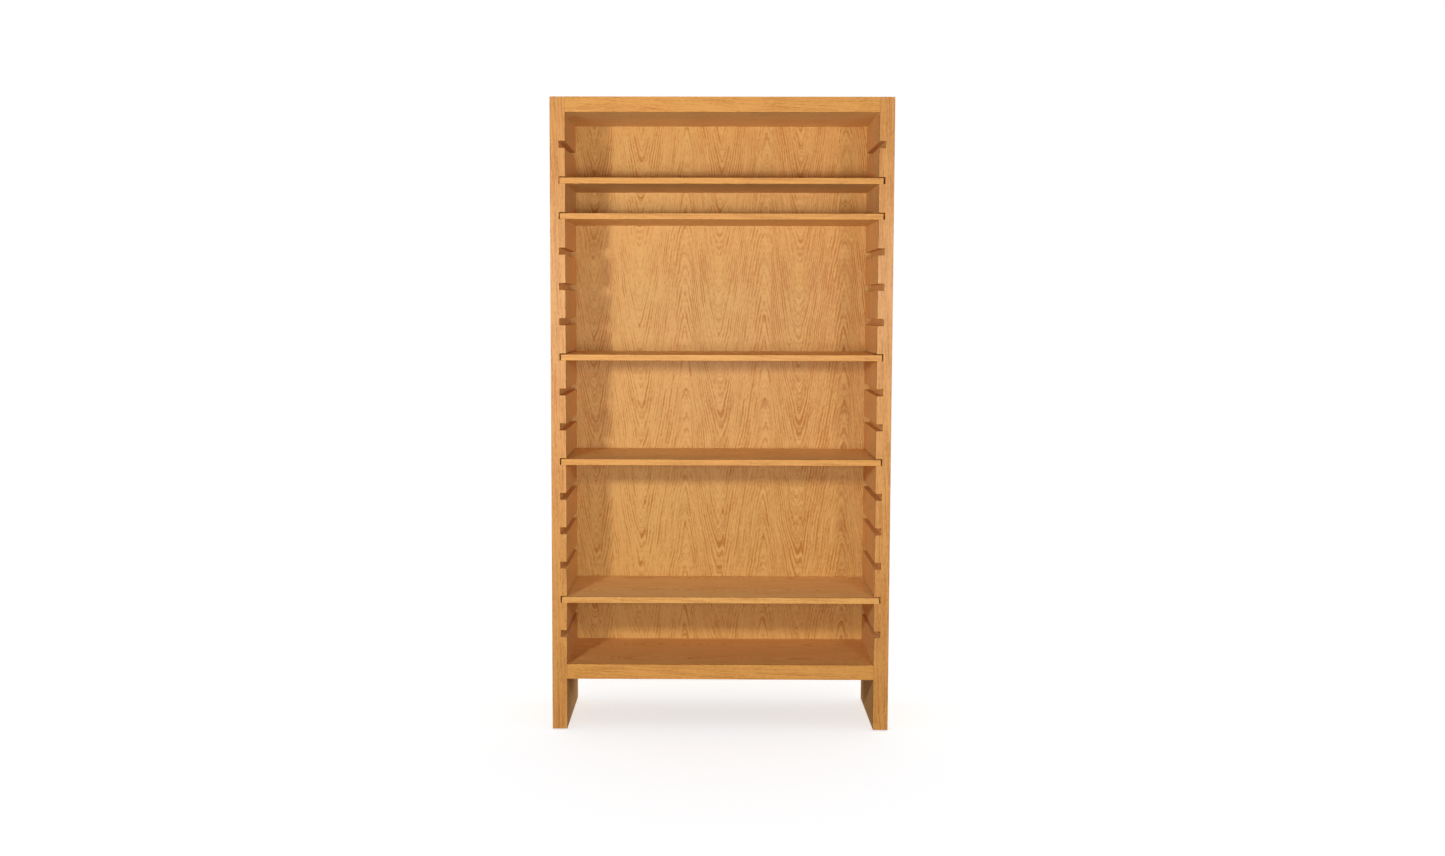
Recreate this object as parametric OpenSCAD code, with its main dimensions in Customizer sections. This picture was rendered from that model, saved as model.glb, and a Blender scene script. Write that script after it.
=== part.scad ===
// Tall oak bookcase with loose shelves that slide into slots in its side panels.
// Origin: on the floor, midway across and midway front to back.
// +X to the right, -Y towards the front, +Z up. Millimetres.

/* [Case] */
// Overall width across the two side panels
case_w = 1090; // [900:1:1300]
// Overall height from the floor to the top
case_h = 2036; // [1700:1:2200]
// Overall depth from the front edges to the rear edges
case_d = 356; // [300:1:420]
// Thickness of the side, top and bottom panels
panel_t = 48; // [40:1:60]
// Height of the bottom panel's underside above the floor
leg_h = 168; // [100:1:220]
// Thickness of the solid lippings on the front edges
lipping_t = 10; // [6:1:16]

/* [Slots] */
// Number of shelf slots in each side panel
slot_count = 15; // [14:1:17]
// Height of a slot
slot_h = 22; // [20:0.5:28]
// Depth of a slot into the side panel
slot_depth = 20; // [12:1:22]

/* [Shelves] */
// Thickness of a shelf
shelf_t = 19; // [15:0.5:19.5]
// Endways play of a shelf between the floors of its two slots
shelf_play = 8; // [4:1:12]
// Gap between a shelf's rear edge and the back panel
shelf_back_gap = 1; // [0.5:0.5:5]
// Slots that hold the shelves, from the top shelf down; the lowest slot is 0
shelf_slots = [13, 12, 8, 5, 1]; // [0:1:13]
// How far each shelf is pushed to the right in its slots
shelf_shift = [-2, -1, 0, 0, 0]; // [-2:0.5:2]

/* [Back panel] */
// Thickness of the back panel
back_t = 6; // [4:1:10]
// Recess of the back panel's rear face behind the rear edges
back_recess = 1; // [0.5:0.5:3]
// Width of the rear rebate that takes the back panel
rebate_w = 28; // [26:1:34]
// Clearance around the back panel in its rebate
back_gap = 0.5; // [0.2:0.1:1]

/* [Fastenings] */
// Diameter of the dowels
dowel_d = 12; // [8:1:16]
// Length of the dowels
dowel_l = 60; // [40:2:64]
// Dowels in each corner joint
dowel_count = 5; // [3:1:6]
// Spacing of the dowels, front to back
dowel_pitch = 65; // [40:1:65]
// Shank diameter of the back panel's screws
screw_d = 3.5; // [3:0.5:4.5]
// Length of the back panel's screws
screw_l = 25; // [16:1:35]

/* [Feet] */
// Thickness of a glide under a side panel's end
glide_t = 3; // [2:0.5:6]
// Diameter of a glide
glide_d = 24; // [16:1:36]
// Distance from a glide's centre to the panel's front or rear edge
glide_inset = 30; // [20:1:60]
// Shank diameter of a glide's nail
nail_d = 2; // [1.5:0.1:3]
// Length of a glide's nail
nail_l = 18; // [12:1:25]

/* [Hidden] */

$fn = 48;
cut = 1;            // how far a cutting shape stands past the face it cuts
fit = 0.1;          // clearance round a dowel, screw or nail in its hole

inner_w = case_w - 2 * panel_t;
inner_bottom = leg_h + panel_t;
inner_top = case_h - panel_t;
inner_h = inner_top - inner_bottom;
slot_gap = (inner_h - slot_count * slot_h) / (slot_count + 1);
slot_pitch = slot_gap + slot_h;

front_y = -case_d / 2;
rear_y = case_d / 2;
core_front_y = front_y + lipping_t;
rebate_y = rear_y - back_t - back_recess;

shelf_l = inner_w + 2 * slot_depth - shelf_play;
shelf_rear_y = rebate_y - shelf_back_gap;

screw_head_d = 2 * screw_d;
screw_spaces = [0 : 3 : slot_count];    // spaces between slots that carry a screw
screw_columns = 4;                      // screws along the top and the bottom panel
screw_side_x = inner_w / 2 + rebate_w / 2;

glide_x = inner_w / 2 + panel_t / 2;
glide_y = case_d / 2 - glide_inset;
nail_base = 1;                          // plastic left under a glide's nail

oak = [0.80, 0.60, 0.38];
oak_edge = [0.86, 0.66, 0.42];
oak_back = [0.72, 0.50, 0.30];
beech = [0.86, 0.74, 0.56];

// Height of the floor of slot k, counted from the lowest
function slot_z(k) = inner_bottom + slot_gap + k * slot_pitch;

// Height of the middle of the plain stretch below slot k
function space_z(k) = inner_bottom + slot_gap / 2 + k * slot_pitch;

// Front-to-back places of the dowels in a joint
function dowel_ys() = [for (i = [0 : dowel_count - 1]) (i - (dowel_count - 1) / 2) * dowel_pitch];

// Places of the screws through the back panel, as [x, z]
function screw_places() = concat(
    [for (side = [-1, 1]) for (k = screw_spaces) [side * screw_side_x, space_z(k)]],
    [for (i = [0 : screw_columns - 1]) for (z = [inner_bottom - rebate_w / 2, inner_top + rebate_w / 2])
        [(i - (screw_columns - 1) / 2) * inner_w / screw_columns, z]]
);

// Every shelf slot of the right-hand side, open to the inside and at both edges
module slot_cuts() {
    for (k = [0 : slot_count - 1])
        translate([inner_w / 2 - cut, front_y - cut, slot_z(k)])
            cube([slot_depth + cut, case_d + 2 * cut, slot_h]);
}

// Recess for the back panel, across the whole carcass
module rebate_cut() {
    translate([-inner_w / 2 - rebate_w, rebate_y, inner_bottom - rebate_w])
        cube([inner_w + 2 * rebate_w, back_t + back_recess + cut, inner_h + 2 * rebate_w]);
}

// One row of dowels or dowel holes across the right-hand end of a panel at height z
module dowel_row(z, diameter, length) {
    for (y = dowel_ys())
        translate([inner_w / 2, y, z])
            rotate([0, 90, 0])
                cylinder(d = diameter, h = length, center = true);
}

module dowel_holes() {
    for (z = [leg_h + panel_t / 2, case_h - panel_t / 2])
        dowel_row(z, dowel_d + 2 * fit, dowel_l + 2 * cut);
}

// Holes for the screws that hold the back panel
module screw_holes() {
    for (p = screw_places())
        translate([p[0], rear_y, p[1]])
            rotate([90, 0, 0])
                cylinder(d = screw_d + 2 * fit, h = screw_l + back_recess + cut);
}

module nail_holes() {
    for (x = [-glide_x, glide_x], y = [-glide_y, glide_y])
        translate([x, y, 0])
            cylinder(d = nail_d + 2 * fit, h = nail_base + nail_l + cut);
}

// Upright block of the right-hand side between two depths
module side_block(y0, y1) {
    translate([inner_w / 2, y0, glide_t])
        cube([panel_t, y1 - y0, case_h - glide_t]);
}

// Right-hand side panel behind its lipping
module side_core() {
    difference() {
        side_block(core_front_y, rear_y);
        slot_cuts();
        rebate_cut();
        dowel_holes();
        screw_holes();
        nail_holes();
    }
}

// Solid strip on the front edge of the right-hand side panel, notched at each slot
module side_strip() {
    difference() {
        side_block(front_y, core_front_y);
        slot_cuts();
    }
}

// Top or bottom panel with its underside at height z
module cross_panel(z) {
    difference() {
        translate([-inner_w / 2, core_front_y, z])
            cube([inner_w, rear_y - core_front_y, panel_t]);
        rebate_cut();
        dowel_holes();
        mirror([1, 0, 0]) dowel_holes();
        screw_holes();
    }
}

// Solid strip on the front edge of the top or bottom panel
module cross_strip(z) {
    translate([-inner_w / 2, front_y, z])
        cube([inner_w, lipping_t, panel_t]);
}

// Dowels of one right-hand corner joint at height z, with chamfered ends
module joint_dowels(z) {
    chamfer = dowel_d / 8;
    for (y = dowel_ys())
        translate([inner_w / 2, y, z])
            rotate([0, 90, 0])
                rotate_extrude()
                    polygon([
                        [0, -dowel_l / 2], [dowel_d / 2 - chamfer, -dowel_l / 2],
                        [dowel_d / 2, -dowel_l / 2 + chamfer], [dowel_d / 2, dowel_l / 2 - chamfer],
                        [dowel_d / 2 - chamfer, dowel_l / 2], [0, dowel_l / 2]
                    ]);
}

// Countersunk screw with a cross recess, its head's face at the origin, pointing down
module countersunk_screw() {
    head_h = (screw_head_d - screw_d) / 2;
    recess = [screw_head_d * 0.6, screw_d / 5, head_h];
    difference() {
        union() {
            translate([0, 0, -head_h]) cylinder(d1 = screw_d, d2 = screw_head_d, h = head_h);
            translate([0, 0, -screw_l + screw_d]) cylinder(d = screw_d, h = screw_l - screw_d - head_h);
            translate([0, 0, -screw_l]) cylinder(d1 = 0, d2 = screw_d, h = screw_d);
        }
        for (turn = [0, 90]) rotate(turn) cube(recess, center = true);
    }
}

module shelf_block(i, y0, y1) {
    translate([shelf_shift[i] - shelf_l / 2, y0, slot_z(shelf_slots[i])])
        cube([shelf_l, y1 - y0, shelf_t]);
}

// Shelf i behind its lipping
module shelf_board(i) {
    color(oak) shelf_block(i, core_front_y, shelf_rear_y);
}

// Solid strip on the front edge of shelf i
module shelf_strip(i) {
    color(oak_edge) shelf_block(i, front_y, core_front_y);
}

// Plastic glide on the floor at the signs given for x and y
module glide(sx, sy) {
    bevel = glide_t / 3;
    color("dimgray")
        translate([sx * glide_x, sy * glide_y, 0])
            difference() {
                union() {
                    cylinder(d1 = glide_d - 2 * bevel, d2 = glide_d, h = bevel);
                    translate([0, 0, bevel]) cylinder(d = glide_d, h = glide_t - bevel);
                }
                translate([0, 0, nail_base]) cylinder(d = nail_d + 2 * fit, h = glide_t);
            }
}

module side_right() { color(oak) side_core(); }
module side_left() { color(oak) mirror([1, 0, 0]) side_core(); }
module side_right_lipping() { color(oak_edge) side_strip(); }
module side_left_lipping() { color(oak_edge) mirror([1, 0, 0]) side_strip(); }
module top_panel() { color(oak) cross_panel(inner_top); }
module bottom_panel() { color(oak) cross_panel(leg_h); }
module top_lipping() { color(oak_edge) cross_strip(inner_top); }
module bottom_lipping() { color(oak_edge) cross_strip(leg_h); }

module top_right_dowels() { color(beech) joint_dowels(case_h - panel_t / 2); }
module top_left_dowels() { mirror([1, 0, 0]) top_right_dowels(); }
module bottom_right_dowels() { color(beech) joint_dowels(leg_h + panel_t / 2); }
module bottom_left_dowels() { mirror([1, 0, 0]) bottom_right_dowels(); }

module back_panel() {
    reach_x = inner_w / 2 + rebate_w - back_gap;
    reach_z = rebate_w - back_gap;
    sink = screw_head_d + 2 * fit;
    color(oak_back)
        difference() {
            translate([-reach_x, rebate_y, inner_bottom - reach_z])
                cube([2 * reach_x, back_t, inner_h + 2 * reach_z]);
            screw_holes();
            for (p = screw_places())
                translate([p[0], rebate_y + back_t, p[1]])
                    rotate([90, 0, 0])
                        cylinder(d1 = sink, d2 = sink - screw_head_d, h = screw_head_d / 2);
        }
}

module back_panel_screws() {
    color("silver")
        for (p = screw_places())
            translate([p[0], rear_y - back_recess, p[1]])
                rotate([-90, 0, 0])
                    countersunk_screw();
}

module glide_nails() {
    color("silver")
        for (x = [-glide_x, glide_x], y = [-glide_y, glide_y])
            translate([x, y, nail_base])
                cylinder(d = nail_d, h = nail_l);
}

side_left();
side_left_lipping();
side_right();
side_right_lipping();
top_panel();
top_lipping();
bottom_panel();
bottom_lipping();
back_panel();
back_panel_screws();
top_left_dowels();
top_right_dowels();
bottom_left_dowels();
bottom_right_dowels();
shelf_board(0);  // shelf_1
shelf_board(1);  // shelf_2
shelf_board(2);  // shelf_3
shelf_board(3);  // shelf_4
shelf_board(4);  // shelf_5
shelf_strip(0);  // shelf_1_lipping
shelf_strip(1);  // shelf_2_lipping
shelf_strip(2);  // shelf_3_lipping
shelf_strip(3);  // shelf_4_lipping
shelf_strip(4);  // shelf_5_lipping
glide(-1, -1);  // glide_front_left
glide(1, -1);  // glide_front_right
glide(-1, 1);  // glide_rear_left
glide(1, 1);  // glide_rear_right
glide_nails();
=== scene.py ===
# %% [markdown]
# # An oak bookcase with loose shelves
# The bookcase is a plain open case of lacquered oak. Two thick sides run down to the floor, a top and a
# bottom panel stand between them, and a thin veneered panel closes the back. Each side has fifteen slots,
# and five loose shelves slide into them from the front.
# This lesson starts from the measured CAD model. It gives each board its own mesh with eased edges, and
# then spends most of its effort on the oak itself, which is drawn by nodes.

# %% The measured model
import math

import bmesh
import bpy
from mathutils import Euler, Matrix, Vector


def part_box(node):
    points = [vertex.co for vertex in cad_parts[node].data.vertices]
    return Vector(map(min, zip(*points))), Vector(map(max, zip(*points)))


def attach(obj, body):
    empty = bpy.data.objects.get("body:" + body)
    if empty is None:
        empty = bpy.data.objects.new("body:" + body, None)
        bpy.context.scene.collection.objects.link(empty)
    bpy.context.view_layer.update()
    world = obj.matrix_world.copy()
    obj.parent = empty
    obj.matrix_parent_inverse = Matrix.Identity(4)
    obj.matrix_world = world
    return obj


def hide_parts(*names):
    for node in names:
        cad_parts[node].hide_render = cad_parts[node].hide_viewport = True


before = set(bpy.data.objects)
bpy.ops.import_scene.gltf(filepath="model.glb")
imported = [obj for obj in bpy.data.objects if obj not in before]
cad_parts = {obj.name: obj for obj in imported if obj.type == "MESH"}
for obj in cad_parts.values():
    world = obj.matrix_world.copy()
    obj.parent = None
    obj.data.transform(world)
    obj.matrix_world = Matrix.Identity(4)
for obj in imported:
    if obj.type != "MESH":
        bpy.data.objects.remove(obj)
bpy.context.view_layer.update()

# %% [markdown]
# ## The main planes
# A case is set out from a few planes: the front, the back of the lippings, the inner faces of the sides,
# the floors of the slots. They could be typed in as numbers, but reading them from the CAD boxes means
# that the boards still fit if the case is ever made wider or taller. Only the slots' own size and number
# are given here. The lowest slot is number 0. The lowest loose shelf stands in slot 1 and the highest in
# slot 13, so the height between those two shelves gives the pitch of the slots.

# %% Planes of the case
lipping_low, lipping_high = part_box("side_right_lipping")
front_y = lipping_low.y
seam_y = lipping_high.y
inner_x = lipping_low.x
rear_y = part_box("side_left")[1].y
back_low, back_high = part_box("back_panel")
rebate_fit = 0.0005
slot_depth = 0.020
slot_height = 0.022
slot_count = 15
lowest_used = 1
highest_used = 13
shelf_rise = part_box("shelf_1")[0].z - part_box("shelf_5")[0].z
slot_pitch = shelf_rise / (highest_used - lowest_used)
first_slot_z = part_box("shelf_5")[0].z - lowest_used * slot_pitch
print("inside width", 2 * inner_x, "slot pitch", slot_pitch, "lowest slot", first_slot_z)

# %% [markdown]
# ## The camera
# The case is looked at from straight in front, from about the height of a standing person's chest. An
# architect's camera stays level and shifts its frame down, which keeps uprights upright. Here most of the
# drop is made by a tilt of four degrees instead, because a large shift would cut off the top of such a tall
# case as soon as it is looked at from the side.

# %% Camera
view_place = (-0.0361, -4.4760, 1.3787)
view_turn = (85.993, -0.138, 0.457)
view_lens = 33.545
view_shift = (0.0160, -0.0194)
film_width = 36
camera_data = bpy.data.cameras.new("front_camera")
camera_data.lens = view_lens
camera_data.sensor_width = film_width
camera_data.shift_x = view_shift[0]
camera_data.shift_y = view_shift[1]
camera_data.dof.use_dof = False
camera = bpy.data.objects.new("front_camera", camera_data)
camera.location = view_place
camera.rotation_euler = [math.radians(angle) for angle in view_turn]
bpy.context.scene.collection.objects.link(camera)
bpy.context.scene.camera = camera
bpy.context.scene.view_settings.view_transform = "Standard"
print("camera at", view_place, "lens", view_lens)

# %% [markdown]
# ## Wiring nodes in code
# Materials further down have long chains of nodes. A few small helpers keep them readable. The first adds
# a node and fills its inputs, where an input may be a plain value or another node's output. The others add
# one step of arithmetic, a vector, a texture, a random number, a soft threshold or a mix of two colours.

# %% Helpers for nodes
def add_node(tree, kind, inputs=None, **settings):
    node = tree.nodes.new(kind)
    for name, value in settings.items():
        setattr(node, name, value)
    for key, value in (inputs or {}).items():
        socket = node.inputs[key]
        if isinstance(value, bpy.types.NodeSocket):
            tree.links.new(value, socket)
        else:
            socket.default_value = value
    return node


def calc(tree, operation, *values):
    inputs = dict(enumerate(values))
    return add_node(tree, "ShaderNodeMath", inputs, operation=operation).outputs[0]


def vector_of(tree, x, y, z):
    return add_node(tree, "ShaderNodeCombineXYZ", {"X": x, "Y": y, "Z": z}).outputs[0]


def noise(tree, vector, scale=1.0, detail=2.0, rough=0.5):
    inputs = {"Vector": vector, "Scale": scale, "Detail": detail, "Roughness": rough}
    return add_node(tree, "ShaderNodeTexNoise", inputs).outputs["Fac"]


def chance(tree, number):
    return add_node(tree, "ShaderNodeTexWhiteNoise", {"W": number}, noise_dimensions="1D").outputs["Value"]


def fade(tree, value, start, end, out_start=0.0, out_end=1.0):
    inputs = {0: value, 1: start, 2: end, 3: out_start, 4: out_end}
    node = add_node(tree, "ShaderNodeMapRange", inputs, interpolation_type="SMOOTHSTEP")
    return node.outputs[0]


def blend_colour(tree, share, first, second, mode="MIX"):
    """Mixes two colours. A Mix node's colour inputs are its sockets 6 and 7, and its colour output is 2."""
    node = add_node(tree, "ShaderNodeMix", data_type="RGBA", blend_type=mode)
    for key, value in {0: share, 6: first, 7: second}.items():
        if isinstance(value, bpy.types.NodeSocket):
            tree.links.new(value, node.inputs[key])
        else:
            node.inputs[key].default_value = value
    return node.outputs[2]


def new_group(name, inputs, outputs):
    """Makes an empty node group, and gives its tree, the values it is given and the results it puts out."""
    tree = bpy.data.node_groups.new(name, "ShaderNodeTree")
    for label, kind, value in inputs:
        socket = tree.interface.new_socket(name=label, in_out="INPUT", socket_type="NodeSocket" + kind)
        if value is not None:
            socket.default_value = value
    for label, kind in outputs:
        tree.interface.new_socket(name=label, in_out="OUTPUT", socket_type="NodeSocket" + kind)
    entry = tree.nodes.new("NodeGroupInput")
    leave = tree.nodes.new("NodeGroupOutput")
    return tree, entry.outputs, leave.inputs


# %% [markdown]
# ## The studio
# In a studio furniture is lit with soft boxes, and each is a square area lamp here. Two small ones stand
# in front of the case, left and right and a little above the camera, and throw the fairly sharp shadows
# inside the bays. A wider panel just below the camera fills those shadows. The others hang above, behind
# and beside the case, all behind its front, so they light the top, the back and the outer sides and reach
# little into the bays. The camera doesn't see the lamps themselves.

# %% Lamps
def lamp(name, place, aim, size, power):
    """Adds a square area lamp that points at aim."""
    data = bpy.data.lights.new(name, "AREA")
    data.shape = "SQUARE"
    data.size = size
    data.energy = power
    light = bpy.data.objects.new(name, data)
    light.location = place
    light.rotation_euler = (Vector(aim) - Vector(place)).to_track_quat("-Z", "Y").to_euler()
    light.visible_camera = False
    bpy.context.scene.collection.objects.link(light)
    return light


case_middle = (0.0, 0.0, 1.0)
key_aim = (0.0, 0.0, 1.2)
key_size = 0.18
side_size = 1.6
side_power = 45
key_left = lamp("key_left", (-1.23, -2.35, 1.50), key_aim, key_size, 26)
key_right = lamp("key_right", (1.06, -2.35, 1.50), key_aim, key_size, 14)
front_fill = lamp("front_fill", (0.0, -4.4, 1.12), case_middle, 0.8, 77)
overhead = lamp("overhead", (0.0, 1.0, 4.0), case_middle, 2.0, 60)
rear_fill = lamp("rear_fill", (1.5, 4.5, 2.2), case_middle, 2.6, 110)
left_fill = lamp("left_fill", (-3.6, 1.0, 1.6), case_middle, side_size, side_power)
right_fill = lamp("right_fill", (3.6, 1.0, 1.6), case_middle, side_size, side_power)
case_lamps = (key_left, key_right, front_fill, overhead, rear_fill, left_fill, right_fill)
print("lamps", [(light.name, light.data.energy) for light in case_lamps])

# %% [markdown]
# ## The world
# A world can do two jobs at once. What the camera sees is plain white paper, and what reaches the wood is
# only a faint even light, as in a large dim room. A Light Path node tells the two kinds of ray apart.

# %% World
white = (1, 1, 1, 1)
ambient_level = 0.02
paper_level = 1.0
world = bpy.data.worlds.new("studio_world")
world.use_nodes = True
world_tree = world.node_tree
world_tree.nodes.clear()
ambient = add_node(world_tree, "ShaderNodeBackground", {"Color": white, "Strength": ambient_level})
paper = add_node(world_tree, "ShaderNodeBackground", {"Color": white, "Strength": paper_level})
seen = add_node(world_tree, "ShaderNodeLightPath").outputs["Is Camera Ray"]
sky_inputs = {0: seen, 1: ambient.outputs[0], 2: paper.outputs[0]}
sky = add_node(world_tree, "ShaderNodeMixShader", sky_inputs)
add_node(world_tree, "ShaderNodeOutputWorld", {"Surface": sky.outputs[0]})
bpy.context.scene.world = world
print("ambient light", ambient_level, "background", paper_level)

# %% [markdown]
# ## The floor
# The floor does three separate jobs. Seen by the camera it is a slightly cool white paint with a glow of
# its own, which keeps it near white. To the wood it sends a fixed, weak, warm light upwards. In mirror
# reflections it gives nothing, because a white floor mirrored in the lacquer would make the legs look
# hazy. A real floor doesn't work like this. It is a studio trick, and it suits this scene's lamps only.

# %% Floor
floor_size = 60
floor_colour = (0.84, 0.89, 0.93, 1)
floor_roughness = 0.9
floor_glow = 0.66
floor_bounce = 0.30
bounce_colour = (1.0, 0.82, 0.66, 1)
bpy.ops.object.select_all(action="DESELECT")
bpy.ops.mesh.primitive_plane_add(size=floor_size)
floor = bpy.context.object
floor.name = "studio_floor"
floor_paint = bpy.data.materials.new("studio_floor")
floor_paint.use_nodes = True
floor_tree = floor_paint.node_tree
floor_shader = floor_tree.nodes["Principled BSDF"]
floor_shader.inputs["Base Color"].default_value = floor_colour
floor_shader.inputs["Roughness"].default_value = floor_roughness
floor_shader.inputs["Specular IOR Level"].default_value = 0.0
floor_shader.inputs["Emission Color"].default_value = white
floor_shader.inputs["Emission Strength"].default_value = floor_glow
rays = add_node(floor_tree, "ShaderNodeLightPath").outputs
bounce_level = calc(floor_tree, "MULTIPLY", rays["Is Diffuse Ray"], floor_bounce)
bounce = add_node(floor_tree, "ShaderNodeEmission", {"Color": bounce_colour, "Strength": bounce_level})
floor_inputs = {0: rays["Is Camera Ray"], 1: bounce.outputs[0], 2: floor_shader.outputs[0]}
floor_mix = add_node(floor_tree, "ShaderNodeMixShader", floor_inputs)
floor_tree.links.new(floor_mix.outputs[0], floor_tree.nodes["Material Output"].inputs["Surface"])
floor.data.materials.append(floor_paint)
print("floor glow", floor_glow, "bounce", floor_bounce)

# %% [markdown]
# ## A lamp for the floor alone
# The shadow under the case is wide and soft, softer than small lamps can make it. A sun with a very large
# angle gives that shadow. Light linking keeps it off the case, and keeps all the other lamps off the floor.
# Each lamp needs a collection of its own, which says what the lamp lights or leaves out.

# %% Floor lamp and light linking
wash_power = 1.25
wash_angle = 130
sun = bpy.data.lights.new("floor_wash", "SUN")
sun.energy = wash_power
sun.angle = math.radians(wash_angle)
floor_wash = bpy.data.objects.new("floor_wash", sun)
bpy.context.scene.collection.objects.link(floor_wash)


def light_floor(light, state):
    """Lets a lamp light only the floor, with INCLUDE, or everything except it, with EXCLUDE."""
    group = bpy.data.collections.new(light.name + "_floor")
    group.objects.link(floor)
    group.collection_objects[0].light_linking.link_state = state
    light.light_linking.receiver_collection = group


light_floor(floor_wash, "INCLUDE")
for light in case_lamps:
    light_floor(light, "EXCLUDE")
print("floor lit by", floor_wash.name, "and left out by", len(case_lamps), "lamps")

# %% [markdown]
# ## Making a board
# Every board starts as a cube of the board's own size. Its place and size are applied to the mesh, so the
# object itself stays at the origin. Joinery is then cut as on a saw bench: a second solid stands where the
# wood is to go, and a Boolean modifier takes it away.

# %% Helpers for boards
weld_distance = 1e-6


def only(piece):
    """Leaves edit mode and selects this piece alone."""
    if bpy.context.object and bpy.context.object.mode != "OBJECT":
        bpy.ops.object.mode_set(mode="OBJECT")
    bpy.ops.object.select_all(action="DESELECT")
    piece.select_set(True)
    bpy.context.view_layer.objects.active = piece


def block(name, low, high):
    """A solid block between two corners."""
    bpy.ops.object.select_all(action="DESELECT")
    low, high = Vector(low), Vector(high)
    bpy.ops.mesh.primitive_cube_add(size=1, location=(low + high) / 2, scale=high - low)
    piece = bpy.context.object
    piece.name = name
    piece.data.name = name
    only(piece)
    bpy.ops.object.transform_apply(location=True, rotation=True, scale=True)
    return piece


def cut(piece, cutter):
    """Takes the cutter's shape out of the piece, and removes the cutter."""
    only(piece)
    saw = piece.modifiers.new("cut", "BOOLEAN")
    saw.operation = "DIFFERENCE"
    saw.solver = "EXACT"
    saw.object = cutter
    bpy.ops.object.modifier_apply(modifier=saw.name)
    bpy.data.objects.remove(cutter, do_unlink=True)


def solid_copy(node):
    """A merged copy of a CAD node, to cut its own seat."""
    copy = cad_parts[node].copy()
    copy.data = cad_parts[node].data.copy()
    copy.parent = None
    bpy.context.scene.collection.objects.link(copy)
    only(copy)
    bpy.ops.object.mode_set(mode="EDIT")
    bpy.ops.mesh.select_all(action="SELECT")
    bpy.ops.mesh.remove_doubles(threshold=weld_distance)
    bpy.ops.object.mode_set(mode="OBJECT")
    return copy


# %% [markdown]
# ## Easing the edges
# An arris is the sharp line where two faces of a board meet, and a joiner takes it off with sandpaper. The
# rounded edge catches a thin line of light, and without it a board looks like cardboard. Bevelling by hand
# means picking each edge. Here a test picks them: an arris is a convex edge with a sharp turn, longer than
# a few millimetres. Edges on a glue line stay sharp, so a list of planes says which ones to leave out.

# %% Helpers for edges
near = 1e-5
shortest_arris = 0.004
square_turn = math.radians(60)
arris_segments = 2
round_profile = 0.5


def select_edges(piece, wanted):
    """Goes into edit mode, selects the edges that pass the test, and gives their number."""
    only(piece)
    bpy.ops.object.mode_set(mode="EDIT")
    bpy.ops.mesh.select_mode(type="EDGE")
    bpy.ops.mesh.select_all(action="DESELECT")
    mesh = bmesh.from_edit_mesh(piece.data)
    count = 0
    for edge in mesh.edges:
        if wanted(edge):
            edge.select_set(True)
            count += 1
    bmesh.update_edit_mesh(piece.data)
    return count


def lies_in(edge, axis, place):
    """True where both ends of the edge lie in the plane at this place, or in the mirrored plane."""
    planes = (place, -place)
    return any(all(abs(corner.co[axis] - plane) < near for corner in edge.verts) for plane in planes)


def is_arris(edge):
    """True for a convex edge with a sharp turn that is long enough to be sanded."""
    if len(edge.link_faces) != 2 or edge.calc_length() < shortest_arris:
        return False
    return edge.is_convex and edge.calc_face_angle() > square_turn


def ease(piece, radius, sharp=()):
    """Rounds every outer edge, except those that lie in a plane of sharp, given as (axis, place)."""
    def wanted(edge):
        return is_arris(edge) and not any(lies_in(edge, axis, place) for axis, place in sharp)

    count = select_edges(piece, wanted)
    bpy.ops.mesh.bevel(
        offset=radius, offset_type="OFFSET", segments=arris_segments, profile=round_profile,
        affect="EDGES", loop_slide=False,
    )
    bpy.ops.object.mode_set(mode="OBJECT")
    print(piece.name, count, "arrises eased,", len(piece.data.polygons), "faces")


# %% [markdown]
# ## Handing a piece over
# Each finished board takes the place of one CAD node. It rides on the same body as that node, so a loose
# shelf slides with its body. The boards are also kept by node name, to find them again when the oak is
# put on. Two numbers name the axes that the tests above need.

# %% Handing over
pieces = {}
side = 0
depth = 1
arris = 0.0009


def settle(piece, node, body):
    """Lets a piece ride on a body and stand for a CAD node."""
    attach(piece, body)
    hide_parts(node)
    pieces[node] = piece


# %% [markdown]
# ## The slots
# All fifteen slots of a side are the same, so they are cut by one tool: a bar repeated upwards by an Array
# modifier at the slot pitch. A new tool is made for each board, as the cut uses it up. The rebate that
# takes the back panel is cut by a block of the panel's own size with a hair's breadth to spare.

# %% Slot and rebate cutters
def slot_cutter(sign):
    """A stack of bars for one side, -1 on the left and 1 on the right. They stick out so the cut is clean."""
    far = inner_x + slot_depth
    xs = sorted((sign * (inner_x - slot_depth), sign * far))
    low = (xs[0], front_y - slot_depth, first_slot_z)
    high = (xs[1], rear_y + slot_depth, first_slot_z + slot_height)
    bars = block("slot_cutter", low, high)
    stack = bars.modifiers.new("stack", "ARRAY")
    stack.use_relative_offset = False
    stack.use_constant_offset = True
    stack.constant_offset_displace = (0, 0, slot_pitch)
    stack.count = slot_count
    bpy.ops.object.modifier_apply(modifier=stack.name)
    return bars


def rebate_cutter():
    """A block that reaches out through the rear."""
    low = Vector((back_low.x - rebate_fit, back_low.y, back_low.z - rebate_fit))
    high = Vector((back_high.x + rebate_fit, rear_y + slot_depth, back_high.z + rebate_fit))
    return block("rebate_cutter", low, high)


# %% [markdown]
# ## The sides
# A side is a 48 mm board with a solid strip glued to its front edge. The strip, called a lipping, hides
# the board's core and is notched where the slots run out. The board could be drawn as an outline and
# extruded, but cutting it keeps each slot the same and leaves clean faces for the grain.

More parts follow.
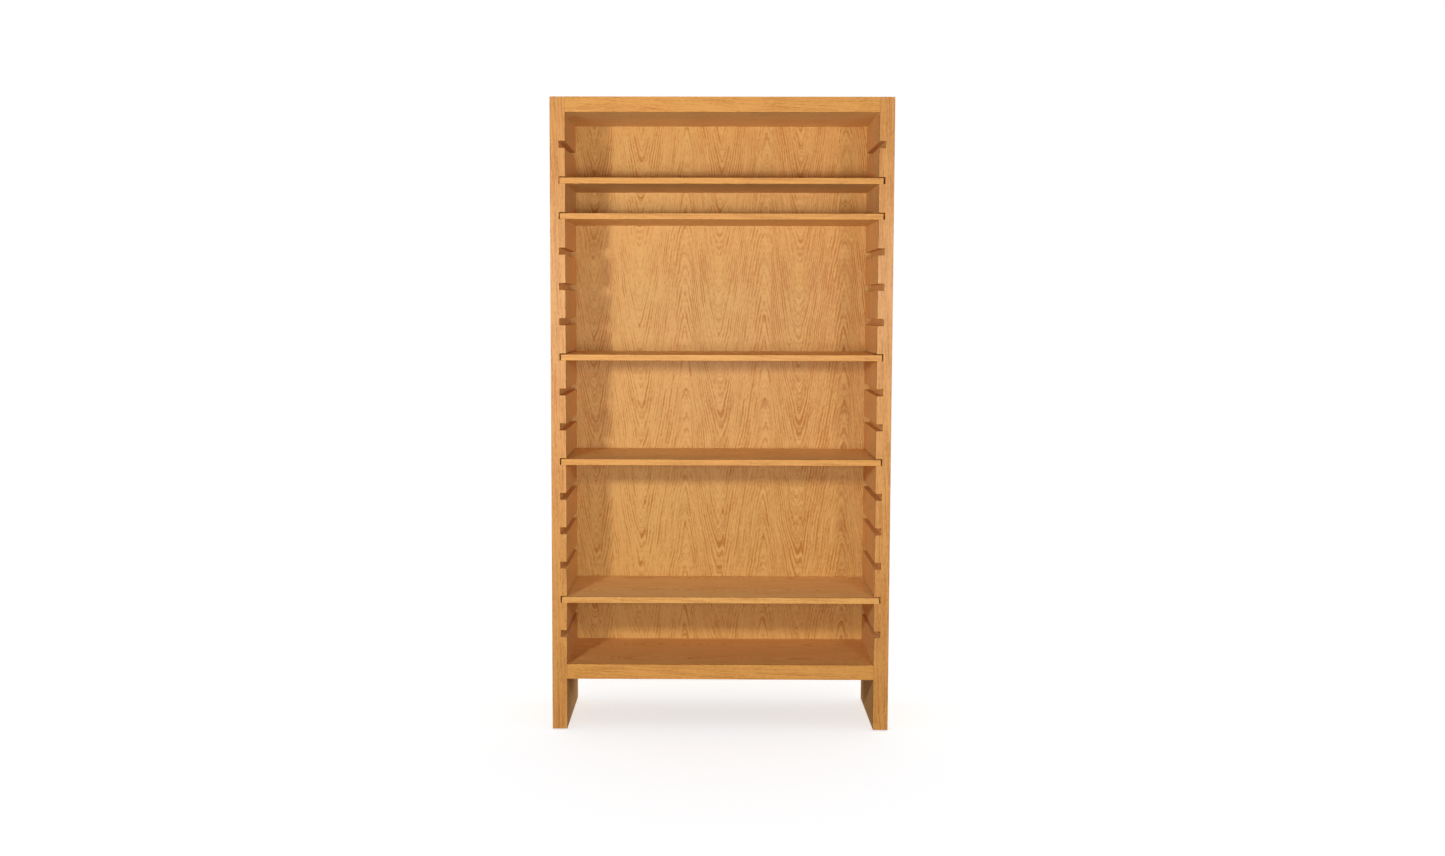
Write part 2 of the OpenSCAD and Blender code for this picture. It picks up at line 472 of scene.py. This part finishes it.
# %% Sides
def make_side(name, sign):
    board = block("oak_" + name, *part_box(name))
    cut(board, slot_cutter(sign))
    cut(board, rebate_cutter())
    hand = "left" if sign < 0 else "right"
    for node in ("top_" + hand + "_dowels", "bottom_" + hand + "_dowels", "back_panel_screws", "glide_nails"):
        cut(board, solid_copy(node))
    ease(board, arris, sharp=[(depth, seam_y)])
    settle(board, name, "case")


def make_side_lipping(name, sign):
    strip = block("oak_" + name, *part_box(name))
    cut(strip, slot_cutter(sign))
    ease(strip, arris, sharp=[(depth, seam_y)])
    settle(strip, name, "case")


for hand, sign in (("left", -1), ("right", 1)):
    make_side("side_" + hand, sign)
    make_side_lipping("side_" + hand + "_lipping", sign)

# %% [markdown]
# ## The top and the bottom
# These two are the same board at two heights, with the back's rebate along the rear and five dowels at
# each end. Their ends stay sharp where they meet the sides, and so does the glue line behind the lipping.
# The lippings are eased all round, so their ends make the fine V that shows as a joint line in front.

# %% Top and bottom panels
def make_cross_panel(name):
    board = block("oak_" + name + "_panel", *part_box(name + "_panel"))
    cut(board, rebate_cutter())
    for node in (name + "_left_dowels", name + "_right_dowels", "back_panel_screws"):
        cut(board, solid_copy(node))
    sharp = [(depth, seam_y), (side, inner_x)]
    ease(board, arris, sharp=sharp)
    settle(board, name + "_panel", "case")


def make_cross_lipping(name):
    strip = block("oak_" + name + "_lipping", *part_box(name + "_lipping"))
    ease(strip, arris, sharp=[(depth, seam_y)])
    settle(strip, name + "_lipping", "case")


for name in ("top", "bottom"):
    make_cross_panel(name)
    make_cross_lipping(name)

# %% [markdown]
# ## The back
# The back is a thin veneered panel, let into the rebate and held by countersunk screws. The CAD screws
# cut their own seats in it, so head and seat match exactly.

# %% Back panel
back = block("oak_back_panel", back_low, back_high)
cut(back, solid_copy("back_panel_screws"))
back_arris = 0.0004
ease(back, back_arris)
settle(back, "back_panel", "case")

# %% [markdown]
# ## The shelves
# A shelf is a 19 mm board with a solid lipping along its front edge. It is modelled once, and the other
# four are copies with their own meshes, moved to the place of their CAD shelf.

# %% Shelves
shelf_count = 5


def make_shelf_part(suffix):
    """Makes a part of the top shelf and its copies. The suffix is empty for the board itself."""
    first_low, first_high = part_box("shelf_1" + suffix)
    first = block("oak_shelf_1" + suffix, first_low, first_high)
    ease(first, arris, sharp=[(depth, seam_y)])
    settle(first, "shelf_1" + suffix, "loose_shelf_1")
    for number in range(2, shelf_count + 1):
        node = "shelf_" + str(number) + suffix
        copy = first.copy()
        copy.data = first.data.copy()
        copy.parent = None
        copy.name = "oak_" + node
        copy.data.name = copy.name
        bpy.context.scene.collection.objects.link(copy)
        copy.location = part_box(node)[0] - first_low
        only(copy)
        bpy.ops.object.transform_apply(location=True, rotation=True, scale=True)
        settle(copy, node, "loose_shelf_" + str(number))


make_shelf_part("")
make_shelf_part("_lipping")

# %% [markdown]
# ## The glides
# A small plastic disc is nailed under each end of the sides. It is a short cylinder whose lower rim is
# drawn in and rounded, so it slides over a floor instead of catching.

# %% Glides
glide_facets = 64
rim_share = 0.45
rim_segments = 4
smooth_below = math.radians(40)


def make_glide(name):
    low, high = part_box(name)
    middle = (low + high) / 2
    bpy.ops.object.select_all(action="DESELECT")
    radius = (high.x - low.x) / 2
    tall = high.z - low.z
    bpy.ops.mesh.primitive_cylinder_add(vertices=glide_facets, radius=radius, depth=tall, location=middle)
    disc = bpy.context.object
    disc.name = "plastic_" + name
    disc.data.name = disc.name
    only(disc)
    bpy.ops.object.transform_apply(location=True, rotation=True, scale=True)
    select_edges(disc, lambda edge: all(corner.co.z < low.z + near for corner in edge.verts))
    rim = tall * rim_share
    bpy.ops.mesh.bevel(offset=rim, segments=rim_segments, profile=round_profile, affect="EDGES")
    bpy.ops.object.mode_set(mode="OBJECT")
    bpy.ops.object.shade_smooth_by_angle(angle=smooth_below)
    settle(disc, name, "case")


for end in ("front", "rear"):
    for hand in ("left", "right"):
        make_glide("glide_" + end + "_" + hand)
print(len(pieces), "pieces made")

# %% [markdown]
# ## How oak is drawn
# A tree's rings are nested cones. A board sawn off centre cuts them in long arches, called cathedrals, in
# the middle and in nearly straight lines at its edges. The group below works in the same way. It measures
# how far each point lies from the heart of the tree, adds the slow taper along the grain, and so gets one
# number that says which year's growth the point belongs to. Everything else follows that number: the
# porous dark wood at the start of each year, the fine lines, and the short dashes of the pores.
# An image could show one plank well, but it would repeat, and a slot cut through it would show no wood
# inside. The group is built up in the next cells, one step in each.

# %% Oak figure group
figure_inputs = [
    ("Vector", "Vector", None),
    ("Leaf Width", "Float", 10.0),
    ("Leaf Edge", "Float", -5.0),
    ("Odd Leaf Shift", "Float", 0.0),
    ("Heart", "Float", 5.0),
    ("Heart Depth", "Float", 0.02),
    ("Rise", "Float", 0.30),
    ("Ring", "Float", 0.009),
    ("Wander", "Float", 0.012),
    ("Crest", "Float", 0.25),
    ("Crest Level", "Float", 5.0),
    ("Crest Slope", "Float", 0.0),
    ("Seed", "Float", 0.0),
    ("Contrast", "Float", 1.0),
    ("Pale", "Color", (0.60, 0.33, 0.13, 1)),
    ("Dark", "Color", (0.40, 0.19, 0.06, 1)),
]
figure_outputs = [("Color", "Color"), ("Roughness", "Float"), ("Height", "Float")]
oak_figure, given, result = new_group("oak_figure", figure_inputs, figure_outputs)
tree = oak_figure
seed = given["Seed"]
parts = add_node(tree, "ShaderNodeSeparateXYZ", {0: given["Vector"]}).outputs
across, through, along_raw = parts[0], parts[1], parts[2]
print("oak_figure has", len(figure_inputs), "inputs")

# %% [markdown]
# ### Leaves of veneer
# A veneered panel is made of leaves sliced one after the other from one log, so the same figure comes
# again at every leaf with small changes. The place across the grain is divided by the leaf's width. The
# whole part of the answer numbers the leaf, and the rest says how far across it the point lies. Each leaf
# is slipped along the grain, and reads the noises a little further on. The cut leaf before the first can be
# shifted sideways. Solid wood uses one very wide leaf.

# %% Leaves
leaf_slip = 0.06
leaf_step = 0.20
leaf_place = calc(tree, "DIVIDE", calc(tree, "SUBTRACT", across, given["Leaf Edge"]), given["Leaf Width"])
leaf = calc(tree, "FLOOR", leaf_place)
local = calc(tree, "MULTIPLY", calc(tree, "FRACT", leaf_place), given["Leaf Width"])
leaf_luck = chance(tree, calc(tree, "ADD", leaf, seed))
along = calc(tree, "MULTIPLY_ADD", leaf_luck, leaf_slip, along_raw)
leaf_drift = calc(tree, "MULTIPLY_ADD", leaf, leaf_step, seed)
odd_leaf = calc(tree, "LESS_THAN", leaf, 0.0)
local = calc(tree, "MULTIPLY_ADD", odd_leaf, given["Odd Leaf Shift"], local)


def in_leaf(across_rate, along_rate):
    """The point's place in its leaf, stretched by two rates, for a noise to read."""
    x = calc(oak_figure, "MULTIPLY", local, across_rate)
    z = calc(oak_figure, "MULTIPLY", along, along_rate)
    return vector_of(oak_figure, x, leaf_drift, z)


def on_heart(start, along_rate):
    """A place that changes along the grain only, so that all the rings move together."""
    return vector_of(oak_figure, start, leaf_drift, calc(oak_figure, "MULTIPLY", along, along_rate))


print("leaves slip up to", leaf_slip, "m along the grain")

# %% [markdown]
# ### Wandering rings
# No tree is a perfect cone. A slow noise bends the rings over a hand's width, and a fine one makes them
# tremble over a few centimetres. The heart wanders too, in depth and to the sides.

# %% Wandering
slow_noise = calc(tree, "SUBTRACT", noise(tree, in_leaf(5.0, 1.7), 1.0, 2.0), 0.5)
fine_noise = calc(tree, "SUBTRACT", noise(tree, in_leaf(45.0, 20.0), 1.0, 3.0), 0.5)
drift_noise = noise(tree, on_heart(3.7, 2.6), 1.0, 2.0)
drift_range = 2.4
drift_start = -0.5
drift_share = calc(tree, "MULTIPLY_ADD", drift_noise, drift_range, drift_start)
heart_depth = calc(tree, "MULTIPLY", given["Heart Depth"], drift_share)
sway_noise = calc(tree, "SUBTRACT", noise(tree, on_heart(9.1, 3.1), 1.0, 2.0), 0.5)
heart_sway = 0.035
off_heart = calc(tree, "SUBTRACT", local, given["Heart"])
off_heart = calc(tree, "MULTIPLY_ADD", sway_noise, heart_sway, off_heart)
deep = calc(tree, "ADD", heart_depth, through)
print("heart sways over", heart_sway, "m")

# %% [markdown]
# ### Hearts and crests
# Where a leaf passes near the heart of the tree, its figure is a valley of arches. Between two hearts the
# rings turn over and make a crest. Each is a distance to a line, and a soft minimum joins the two without
# a seam. Distances grow faster further out, because rings get narrower as a tree gets old.

# %% Hearts and crests
crowding = 6.0
crest_sway = 0.03
crest_steepness = -1.2
join_width = 0.012


def ring_distance(tree, offset, depth_value):
    """Distance to a heart, growing faster further out."""
    squares = calc(tree, "MULTIPLY_ADD", offset, offset, calc(tree, "MULTIPLY", depth_value, depth_value))
    distance = calc(tree, "SQRT", squares)
    return calc(tree, "MULTIPLY", distance, calc(tree, "MULTIPLY_ADD", distance, crowding, 1.0))


valley = ring_distance(tree, off_heart, deep)
half_leaf = calc(tree, "MULTIPLY", given["Leaf Width"], 0.5)
off_crest = calc(tree, "SUBTRACT", local, given["Crest"])
off_crest = calc(tree, "WRAP", off_crest, half_leaf, calc(tree, "MULTIPLY", half_leaf, -1.0))
off_crest = calc(tree, "MULTIPLY_ADD", sway_noise, crest_sway, off_crest)
crest_level = calc(tree, "MULTIPLY_ADD", along, given["Crest Slope"], given["Crest Level"])
crest_squares = calc(tree, "MULTIPLY_ADD", off_crest, off_crest, calc(tree, "MULTIPLY", deep, deep))
crest = calc(tree, "MULTIPLY_ADD", calc(tree, "SQRT", crest_squares), crest_steepness, crest_level)
shape = calc(tree, "SMOOTH_MIN", valley, crest, join_width)
print("hearts and crests join over", join_width, "m")

# %% [markdown]
# ### Growth and years
# The growth number is the distance, less the rise of the cone along the grain, plus the wandering. Divided
# by the width of a ring it counts the years. Each year starts with a dark porous band that fades slowly.
# Some years are stronger than others, and the band is bolder in some places than in others.

# %% Growth and years
fine_wander = 0.008
growth = calc(tree, "SUBTRACT", shape, calc(tree, "MULTIPLY", along, given["Rise"]))
growth = calc(tree, "MULTIPLY_ADD", slow_noise, given["Wander"], growth)
growth = calc(tree, "MULTIPLY_ADD", fine_noise, fine_wander, growth)
year_place = calc(tree, "DIVIDE", growth, given["Ring"])
year = calc(tree, "FLOOR", year_place)
season = calc(tree, "FRACT", year_place)
spring = 0.10
autumn = 0.75
onset = fade(tree, season, 0.0, spring)
dying = fade(tree, season, spring, autumn, 1.0, 0.0)
year_luck = chance(tree, calc(tree, "ADD", year, seed))
weakest_year = 0.25
strength = calc(tree, "MULTIPLY_ADD", year_luck, 1.0 - weakest_year, weakest_year)
band = calc(tree, "MULTIPLY", calc(tree, "MULTIPLY", onset, dying), strength)
bold = fade(tree, noise(tree, in_leaf(28.0, 7.0), 1.0, 2.0), 0.36, 0.66, 0.15, 1.5)
band = calc(tree, "MULTIPLY", band, bold)
print("the dark band takes", autumn, "of a year")

# %% [markdown]
# ### Fine lines, flecks and pores
# Oak's pores are tubes that run with the grain, and a saw opens them as short dashes, mostly in the dark
# band. Fine lines and flecks follow the rings as well. All three read the growth number across the grain,
# so they bend with the arches, and the place along the grain at a much lower rate, which stretches them.

# %% Lines and pores
def with_rings(width, through_rate, along_rate):
    """A place that follows the rings, for marks of this width."""
    x = calc(oak_figure, "DIVIDE", growth, width)
    y = calc(oak_figure, "MULTIPLY", through, through_rate)
    z = calc(oak_figure, "MULTIPLY", along, along_rate)
    return vector_of(oak_figure, x, y, z)


lines = noise(tree, with_rings(0.0045, 300.0, 8.0), 1.0, 3.0, 0.6)
dashes = noise(tree, with_rings(0.0012, 800.0, 55.0), 1.0, 1.0)
flecks = noise(tree, with_rings(0.0042, 250.0, 75.0), 1.0, 3.0, 0.65)
pore_level = 0.68
pore_in_band = -0.16
pore_edge = 0.10
pore_limit = calc(tree, "MULTIPLY_ADD", band, pore_in_band, pore_level)
pores = fade(tree, calc(tree, "SUBTRACT", dashes, pore_limit), 0.0, pore_edge)
print("pores start at", pore_level, "between bands, and at", pore_level + pore_in_band, "in a full band")

# %% [markdown]
# ### Colour, gloss and relief
# All marks add up to one darkness, each with its own share, and darkness mixes the pale wood with the dark.
# Broad patches and the luck of the leaf shift the whole tone. Some places are a little rosier. Pores and
# bands are less glossy than the wood between them, and lie lower, as the lacquer sinks into them.

# %% Colour and gloss
patch_at = vector_of(tree, calc(tree, "MULTIPLY", across, 4.0), seed, calc(tree, "MULTIPLY", along_raw, 2.2))
patch = noise(tree, patch_at, 1.0, 2.0)
broken = calc(tree, "MULTIPLY", band, fade(tree, flecks, 0.30, 0.60, 0.5, 1.1))
band_share = 0.48
darkness_start = -0.08
darkness = calc(tree, "MULTIPLY_ADD", broken, band_share, darkness_start)
for mark, mark_share in ((lines, 1.5), (flecks, 1.1)):
    darkness = calc(tree, "MULTIPLY_ADD", calc(tree, "SUBTRACT", mark, 0.5), mark_share, darkness)
pore_share = 0.35
darkness = calc(tree, "MULTIPLY_ADD", pores, pore_share, darkness)
for tone, tone_share in ((patch, 0.2), (leaf_luck, 0.12)):
    darkness = calc(tree, "MULTIPLY_ADD", calc(tree, "SUBTRACT", tone, 0.5), tone_share, darkness)
darkness = calc(tree, "MULTIPLY", darkness, given["Contrast"])
middle_tone = 0.3
share = add_node(tree, "ShaderNodeClamp", {"Value": calc(tree, "ADD", darkness, middle_tone)}).outputs[0]
oak_colour = blend_colour(tree, share, given["Pale"], given["Dark"])
rosy = fade(tree, noise(tree, in_leaf(7.0, 2.9), 1.0, 2.0), 0.42, 0.68, 0.0, 0.4)
rosy_tint = (1.0, 0.93, 0.92, 1)
oak_colour = blend_colour(tree, rosy, oak_colour, blend_colour(tree, 1.0, oak_colour, rosy_tint, "MULTIPLY"))
tree.links.new(oak_colour, result["Color"])
satin_level = 0.50
pore_dullness = 0.18
band_dullness = 0.06
satin = calc(tree, "MULTIPLY_ADD", pores, pore_dullness, satin_level)
satin = calc(tree, "MULTIPLY_ADD", band, band_dullness, satin)
tree.links.new(satin, result["Roughness"])
pore_drop = -1.0
band_drop = -0.25
hollow = calc(tree, "MULTIPLY_ADD", pores, pore_drop, calc(tree, "MULTIPLY", band, band_drop))
tree.links.new(hollow, result["Height"])
print("oak_figure has", len(tree.nodes), "nodes")

# %% [markdown]
# ## Eased edges
# Where an arris was sanded, the lacquer is thinner and hands have polished it. Flat faces of a board point
# along one axis, so a normal that points between two axes marks an eased edge. The colour there is made
# lighter in patches. That is partly this wear and partly a painted highlight, the thin line of light that
# an eased edge catches.

# %% Eased edge group
edge_inputs = [("Color", "Color", (0.5, 0.3, 0.1, 1)), ("Roughness", "Float", 0.4), ("Wear And Highlight", "Float", 0.5)]
edge_outputs = [("Color", "Color"), ("Roughness", "Float")]
eased_edge, given, result = new_group("eased_edge", edge_inputs, edge_outputs)
tree = eased_edge
place = add_node(tree, "ShaderNodeTexCoord").outputs
facing = add_node(tree, "ShaderNodeVectorMath", {0: place["Normal"]}, operation="ABSOLUTE").outputs[0]
facing = add_node(tree, "ShaderNodeSeparateXYZ", {0: facing}).outputs
straight = calc(tree, "MAXIMUM", calc(tree, "MAXIMUM", facing[0], facing[1]), facing[2])
on_edge = fade(tree, straight, 0.80, 0.985, 1.0, 0.0)
edge_patch_scale = 14.0
edge_patches = fade(tree, noise(tree, place["Object"], edge_patch_scale, 3.0), 0.35, 0.65)
worn_and_highlit = calc(tree, "MULTIPLY", calc(tree, "MULTIPLY", on_edge, edge_patches), given["Wear And Highlight"])
# The lighter edge colour is partly thinner lacquer and partly a painted highlight.
thin_lacquer_and_highlight_tint = (1.25, 1.22, 1.18, 1)
thin_lacquer_and_highlight = blend_colour(tree, 1.0, given["Color"], thin_lacquer_and_highlight_tint, "MULTIPLY")
tree.links.new(blend_colour(tree, worn_and_highlit, given["Color"], thin_lacquer_and_highlight), result["Color"])
polish = -0.10
tree.links.new(calc(tree, "MULTIPLY_ADD", worn_and_highlit, polish, given["Roughness"]), result["Roughness"])
print("eased_edge has", len(tree.nodes), "nodes")

# %% [markdown]
# ## The directions and colours of the boards
# Grain runs up the sides and the back, and across the shelves, the top and the bottom. Each turn below
# brings a board's own axes into across, through and along the grain, in degrees. No two boards of a real
# case match, so sides, bottom, back and lippings each have a pale and a dark tone of their own. The
# bottom's tones are also darker and redder than the wood's own colour, as painted shade in the lowest bay.

# %% Turns and tones
grain_up_front = (0.0, 0.0, 0.0)
grain_up_side = (0.0, 0.0, -90.0)
grain_across_flat = (-90.0, -90.0, 0.0)
grain_across_front = (180.0, -90.0, 0.0)
pale_oak = (0.900, 0.586, 0.238, 1)
dark_oak = (0.640, 0.320, 0.092, 1)
# The bottom's two tones are darker and redder, as painted shade on the floor of the lowest bay.
pale_bottom_painted_shade = (0.828, 0.440, 0.138, 1)
dark_bottom_painted_shade = (0.590, 0.238, 0.054, 1)
pale_side = (0.856, 0.513, 0.204, 1)
dark_side = (0.610, 0.284, 0.082, 1)
pale_side_lipping = (0.688, 0.324, 0.079, 1)
dark_side_lipping = (0.477, 0.181, 0.033, 1)
pale_lipping = (0.730, 0.348, 0.078, 1)
dark_lipping = (0.510, 0.195, 0.033, 1)
pale_back = (0.658, 0.375, 0.103, 1)
dark_back = (0.447, 0.176, 0.025, 1)
print("pale oak", pale_oak[:3], "dark oak", dark_oak[:3])

# %% [markdown]
# ## Oak for each board
# The group needs to know which way a board's grain runs, so a Mapping node turns the object's own
# coordinates into across, through and along the grain. The same node moves the figure, so that no two
# boards are cut from the same piece of the tree. A satin lacquer is a thin clear coat over the wood.

# %% An oak material
thin_coat = 0.04
coat_roughness = 0.30
wood_shine = 0.28
relief_strength = 0.12
relief_depth = 0.0003


def oak(name, node, turn, move, pale=pale_oak, dark=dark_oak, wear_and_highlight=0.5, coat=thin_coat, **figure):
    """An oak material for one board: its grain turned, and its figure centred on the board and then moved."""
    material = bpy.data.materials.new(name)
    material.use_nodes = True
    tree = material.node_tree
    shader = tree.nodes["Principled BSDF"]
    low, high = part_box(node)
    turn_by = Euler([math.radians(angle) for angle in turn])
    place = add_node(tree, "ShaderNodeTexCoord").outputs["Object"]
    turned = add_node(tree, "ShaderNodeMapping", {"Vector": place, "Rotation": turn_by}, vector_type="POINT")
    turned.inputs["Location"].default_value = Vector(move) - turn_by.to_matrix() @ ((low + high) / 2)
    wood = add_node(tree, "ShaderNodeGroup", node_tree=oak_figure)
    tree.links.new(turned.outputs[0], wood.inputs["Vector"])
    wood.inputs["Pale"].default_value = pale
    wood.inputs["Dark"].default_value = dark
    for label, value in figure.items():
        wood.inputs[label.replace("_", " ")].default_value = value
    # The edge group paints eased edges lighter, partly as wear and partly as a painted highlight.
    edge = add_node(tree, "ShaderNodeGroup", node_tree=eased_edge)
    edge.inputs["Wear And Highlight"].default_value = wear_and_highlight
    tree.links.new(wood.outputs["Color"], edge.inputs["Color"])
    tree.links.new(wood.outputs["Roughness"], edge.inputs["Roughness"])
    relief = {"Height": wood.outputs["Height"], "Strength": relief_strength, "Distance": relief_depth}
    bump = add_node(tree, "ShaderNodeBump", relief)
    tree.links.new(edge.outputs["Color"], shader.inputs["Base Color"])
    tree.links.new(edge.outputs["Roughness"], shader.inputs["Roughness"])
    tree.links.new(bump.outputs[0], shader.inputs["Normal"])
    shader.inputs["Specular IOR Level"].default_value = wood_shine
    shader.inputs["Coat Weight"].default_value = coat
    shader.inputs["Coat Roughness"].default_value = coat_roughness
    return material


def finish(name, material):
    """Gives one material to a new piece, or to the CAD node of this name."""
    piece = pieces.get(name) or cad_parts[name]
    piece.data.materials.clear()
    piece.data.materials.append(material)


# %% [markdown]
# ## The back's veneer
# The back shows the boldest figure: wide leaves of crown-cut veneer, laid side by side in the order they
# were sliced. Its arches are large, so the rings are wide and the contrast is high. The panel's edges are
# hidden in the rebate, so nothing has worn them, and they get no painted highlight.

# %% Back veneer
leaf_width = 0.273
first_leaf = -0.373
leaf_heart = 0.097
back_oak = oak(
    "oak_back_veneer", "back_panel", grain_up_front, (0, 0, 0), Leaf_Width=leaf_width, Leaf_Edge=first_leaf,
    Heart=leaf_heart, Heart_Depth=0.016, Rise=0.25, Ring=0.0125,
    Crest=0.252, Crest_Level=0.20, Crest_Slope=0.05, Odd_Leaf_Shift=-0.115, Contrast=1.75, Seed=4.0,
    pale=pale_back, dark=dark_back, wear_and_highlight=0.0,
)
finish("back_panel", back_oak)
print("back leaves are", leaf_width, "m wide")

# %% [markdown]
# ## The sides' oak
# A side is veneered with narrower, quieter leaves. Its lipping is solid oak, sawn further from the heart, so
# its lines are straight and close together, and it carries more lacquer than the boards.

# %% Oak for the sides
side_lipping_coat = 0.22
for number, hand in enumerate(("left", "right")):
    node = "side_" + hand
    veneer = oak(
        "oak_" + node, node, grain_up_side, (0.0, 0.0, 0.7 * number), Leaf_Width=0.25, Leaf_Edge=-0.21,
        Heart=0.14, Heart_Depth=0.03, Rise=0.2, Seed=11.0 + number, pale=pale_side, dark=dark_side,
    )
    finish(node, veneer)
    strip = oak(
        "oak_" + node + "_lipping", node + "_lipping", grain_up_front, (0.0, 0.0, 0.4 * number),
        Heart=5.035 - 0.05 * number, Heart_Depth=0.06, Rise=0.05, Ring=0.006, Contrast=1.7,
        Seed=21.0 + number, coat=side_lipping_coat, pale=pale_side_lipping, dark=dark_side_lipping,
    )
    finish(node + "_lipping", strip)
    print(veneer.name, "and", strip.name)

# %% [markdown]
# ## Oak for the top and the bottom
# Both have their grain from left to right. The bottom panel is painted darker and redder than the top, as
# painted shade in the lowest bay.

# %% Oak for the top and bottom
for number, name in enumerate(("top", "bottom")):
    node = name + "_panel"
    veneer = oak(
        "oak_" + node, node, grain_across_flat, (0.0, 0.0, 0.6 * number), Leaf_Width=0.18,
        Leaf_Edge=-0.178, Heart=0.08, Heart_Depth=0.03, Rise=0.2, Seed=31.0 + number,
        pale=(pale_oak, pale_bottom_painted_shade)[number], dark=(dark_oak, dark_bottom_painted_shade)[number],
    )
    finish(node, veneer)
    node = name + "_lipping"
    strip = oak(
        "oak_" + node, node, grain_across_front, (0.0, 0.0, 0.3 * number), Heart=5.03,
        Heart_Depth=0.06, Rise=0.06, Ring=0.006, Contrast=1.5, Seed=41.0 + number,
        pale=pale_lipping, dark=dark_lipping,
    )
    finish(node, strip)
    print(veneer.name, "and", strip.name)

# %% [markdown]
# ## Oak for the shelves
# Each shelf's figure is moved to another part of the tree. The lowest shelf has a paler lipping than the
# others. A tone above 1 lifts blue most and red least, because pale oak is also less yellow.

# %% Oak for the shelves
lipping_tones = (1.0, 1.0, 1.0, 1.0, 1.22)


def toned(colour, tone):
    """The colour made paler by a tone above 1."""
    return (colour[0] * (1 + tone) / 2, colour[1] * tone, colour[2] * tone * tone, 1)


for number, tone in enumerate(lipping_tones, start=1):
    node = "shelf_" + str(number)
    veneer = oak(
        "oak_" + node, node, grain_across_flat, (0.07 * number, 0.0, 0.41 * number), Leaf_Width=0.19,
        Leaf_Edge=-0.178, Heart=0.09, Heart_Depth=0.03, Rise=0.2, Seed=50.0 + number,
    )
    finish(node, veneer)
    node = node + "_lipping"
    strip = oak(
        "oak_" + node, node, grain_across_front, (0.0, 0.0, 0.37 * number), Heart=5.0 - 0.02 * number,
        Heart_Depth=0.05, Rise=0.04, Ring=0.005, Contrast=1.3, Seed=60.0 + number,
        pale=toned(pale_lipping, tone), dark=toned(dark_lipping, tone),
    )
    finish(node, strip)
    print(veneer.name, "and", strip.name, "tone", tone)

# %% [markdown]
# ## Beech, zinc and plastic
# The joints' dowels are beech, which is pale and full of short brown flecks. Screws and nails are
# zinc-plated steel, and a plated surface is never quite even. The glides are brown moulded plastic with
# the fine texture that a mould leaves. One helper makes all three: a noise at the right scale mixes two
# near tones, varies the gloss a little and gives a slight relief.

# %% Small materials
even = (1.0, 1.0, 1.0)
beech_stretch = (60.0, 700.0, 700.0)
rough_spread = 0.08
grit_strength = 0.3
grit_depth = 0.0001


def simple(name, base, other, stretch, scale, rough, metal=0.0):
    """A material of two near tones, mixed by a stretched noise."""
    material = bpy.data.materials.new(name)
    material.use_nodes = True
    tree = material.node_tree
    shader = tree.nodes["Principled BSDF"]
    place = add_node(tree, "ShaderNodeTexCoord").outputs["Object"]
    stretched = add_node(tree, "ShaderNodeMapping", {"Vector": place, "Scale": stretch}).outputs[0]
    mottle = noise(tree, stretched, scale, 4.0, 0.6)
    colour = blend_colour(tree, fade(tree, mottle, 0.35, 0.70), base, other)
    tree.links.new(colour, shader.inputs["Base Color"])
    gloss = fade(tree, mottle, 0.3, 0.7, rough - rough_spread, rough + rough_spread)
    tree.links.new(gloss, shader.inputs["Roughness"])
    shader.inputs["Metallic"].default_value = metal
    relief = {"Height": mottle, "Strength": grit_strength, "Distance": grit_depth}
    bump = add_node(tree, "ShaderNodeBump", relief)
    tree.links.new(bump.outputs[0], shader.inputs["Normal"])
    return material


beech = simple("beech_dowel", (0.60, 0.39, 0.22, 1), (0.46, 0.26, 0.13, 1), beech_stretch, 1.0, 0.6)
zinc = simple("zinc_steel", (0.62, 0.63, 0.62, 1), (0.50, 0.50, 0.47, 1), even, 900.0, 0.32, metal=1.0)
plastic = simple("brown_plastic", (0.030, 0.022, 0.017, 1), (0.045, 0.034, 0.027, 1), even, 2500.0, 0.5)
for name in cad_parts:
    if name.endswith("_dowels"):
        finish(name, beech)
    elif name.endswith("_screws") or name.endswith("_nails"):
        finish(name, zinc)
    elif name.startswith("glide"):
        finish(name, plastic)
print("materials", len(bpy.data.materials))
